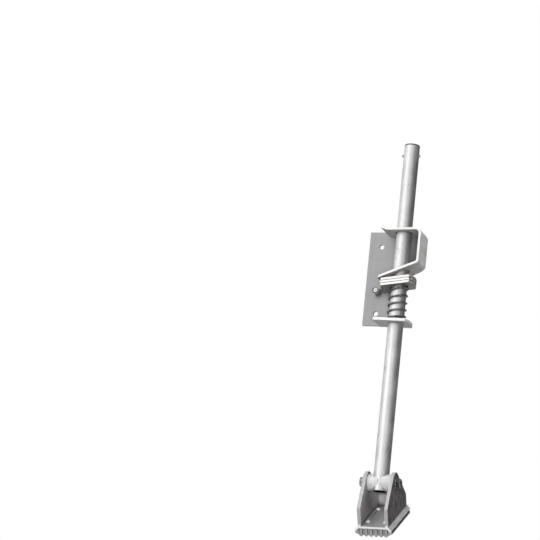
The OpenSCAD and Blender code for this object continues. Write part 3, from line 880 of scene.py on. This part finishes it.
# %% [markdown]
# ### Placing the fasteners
# Two matrices lay them along their own axes: across the shoe at its pivot, and forward through the
# back plate. The plate's nut is zinc, but it is given the shoe nut's black finish as painted shade
# for the shadowed place where it sits, although its slot is that of a bolt.

# %% Place the fasteners
cross = Matrix.Translation(pivot) @ Matrix.Rotation(math.radians(90), 4, "Y")
plate_bolt_z = -18 * mm
through = Matrix.Translation((0, 0, plate_bolt_z)) @ Matrix.Rotation(math.radians(90), 4, "X")
seat, plate_seat = 23.5 * mm, 4.3 * mm
fasteners = {
    "pivot_bolt": (cross, bolt(
        across=13 * mm, head=6 * mm, radius=4 * mm, z0=-seat, z1=seat + 6.75 * mm,
        thread_from=16 * mm, lead=1.25 * mm)),
    "pivot_nut": (cross @ raised(seat), lock_nut(
        across=13 * mm, height=5.6 * mm, collar=6 * mm, collar_z=6.5 * mm, bore=7 * mm)),
    "plate_bolt": (through, bolt(
        across=11.1 * mm, head=4.4 * mm, radius=3.175 * mm, z0=-4 * mm, z1=11.8 * mm,
        thread_from=1 * mm, lead=1.27 * mm)),
    "plate_nut": (through @ raised(plate_seat), lock_nut(
        across=11.1 * mm, height=5.4 * mm, collar=5 * mm, collar_z=6.7 * mm, bore=5.5 * mm))}
# painted shade: the plate nut is zinc, given the black nut finish because it sits in shade
painted_shade_looks = {"plate_nut": "nut"}
for node, (laid, parts) in fasteners.items():
    bm = gather(parts)
    bmesh.ops.transform(bm, matrix=laid, verts=bm.verts)
    piece = finished(bm, node + "_turned", node, smooth_to=30, look=painted_shade_looks.get(node))
    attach(piece, bodies[node])
    print(f"{node}: {len(piece.data.polygons)} faces")

# %% [markdown]
# ## Domed rivets
# The rubber pad hangs on four rivets whose heads were spun round. A head is the cap of a ball: the
# sphere is cut off flat and its rim closed.

# %% Rivets
shoe = Matrix.Translation(pivot) @ Matrix.Rotation(pitch, 4, "X")
sole = -47.7                                   # the base plate's upper face, under the pivot

def on_sole(x, y):
    return shoe @ Matrix.Translation((x * mm, y * mm, sole * mm))

rivet_places = ((-12.4, -30.5), (12.4, -30.5), (-13, 22), (13, 22))
ball, cut_z, shank_radius = 3.25 * mm, 0.75 * mm, 1.98 * mm
rivets = []
for x, y in rivet_places:
    head, shank = bmesh.new(), bmesh.new()
    bmesh.ops.create_uvsphere(head, u_segments=32, v_segments=20, radius=ball)
    cut_off(head, (0, 0, cut_z), (0, 0, -1))
    bmesh.ops.translate(head, verts=head.verts, vec=(0, 0, -cut_z))
    rod(shank, shank_radius, -3 * mm, 0.5 * mm, 32)
    rivets += [(head, on_sole(x, y)), (shank, on_sole(x, y))]
piece = finished(gather(rivets), "domed_rivets", "pad_rivets", smooth_to=40)
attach(piece, "shoe")
print("rivets:", len(piece.data.polygons), "faces")

# %% [markdown]
# ## Weld beads
# A bead is laid down drop by drop, and each drop freezes as a small crescent over the last. One
# ring, leaning forward, is drawn out along the seam: wide over a drop, narrower between two.
# The half that lies inside the plates is where the real bead has melted into them.

# %% Beads
drop_length, end_width, end_length = 1.3 * mm, 0.6, 0.12
drop_shape = ((0.3, 1.0), (0.45, 0.99), (0.25, 0.88))    # share of a drop's length, its width there
forward = math.radians(28)

def bead(length, radius, outward=(0, -1, 1)):
    bm = bmesh.new()
    sideways = Vector((1, 0, 0)).cross(Vector(outward).normalized())
    start = Matrix.Rotation(forward, 4, sideways) @ Matrix.Rotation(math.radians(90), 4, "Y")
    made = bmesh.ops.create_circle(bm, cap_ends=True, segments=16, radius=radius * end_width,
                                   matrix=start)["verts"]
    bmesh.ops.translate(bm, verts=made, vec=(radius * end_width / 2, 0, 0))
    run = length - radius * end_width
    drops = round(run / drop_length)
    ring, width = bm.edges[:], end_width
    for share, wide in (*drop_shape * drops, (end_length, end_width)):
        grown = bmesh.ops.extrude_edge_only(bm, edges=ring)["geom"]
        verts = corners_of(grown)
        ring = [edge for edge in edges_of(grown) if all(v in verts for v in edge.verts)]
        bmesh.ops.scale(bm, verts=verts, vec=(1, wide / width, wide / width))
        bmesh.ops.translate(bm, verts=verts, vec=(run / drops * share, 0, 0))
        width = wide
    bmesh.ops.contextual_create(bm, geom=ring)
    return bm

# %% [markdown]
# ### The seams
# Three beads hold the strip and the flange to the back plate, behind the leg. They follow the top
# flange, the lower flange and the slope, so each is tilted like the sheet it joins. On the shoe
# one short bead closes each ear's toe, and a long one runs along the heel.

# %% Place the beads
def seam(x, z, tilt, along):
    return (Matrix.Translation(Vector((x, 0, z)) * mm)
            @ Matrix.Rotation(math.radians(tilt), 4, "Y")
            @ Matrix.Translation((along * mm, 0, 0)))

weld_seams = {
    "bracket_welds": [
        (bead(40 * mm, 2.6 * mm), seam(59.5, 60.1, tilt=-1.5, along=-41) @ raised(8.5 * mm)),
        (bead(30 * mm, 2.6 * mm), seam(22.7, -65.4, tilt=1.4, along=-12.2)),
        (bead(46 * mm, 2.4 * mm), seam(37.5, 7.888, tilt=-22.5, along=-24))],
    "shoe_welds": [
        (bead(4.8 * mm, 1.8 * mm), on_sole(-22.1, -48)),
        (bead(4.8 * mm, 1.8 * mm), on_sole(17.3, -48)),
        (bead(42.2 * mm, 1.8 * mm, outward=(0, 1, 1)), on_sole(-21.1, 46.5))]}
for node, beads in weld_seams.items():
    piece = finished(gather(beads), node + "_beads", node, smooth_to=50)
    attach(piece, bodies[node])
    print(f"{node}: {len(beads)} beads, {len(piece.data.polygons)} faces")

# %% [markdown]
# ## Finish
# The view stays Standard, so a colour is shown as it is mixed.

# %% Finish
bpy.context.scene.view_settings.view_transform = "Standard"
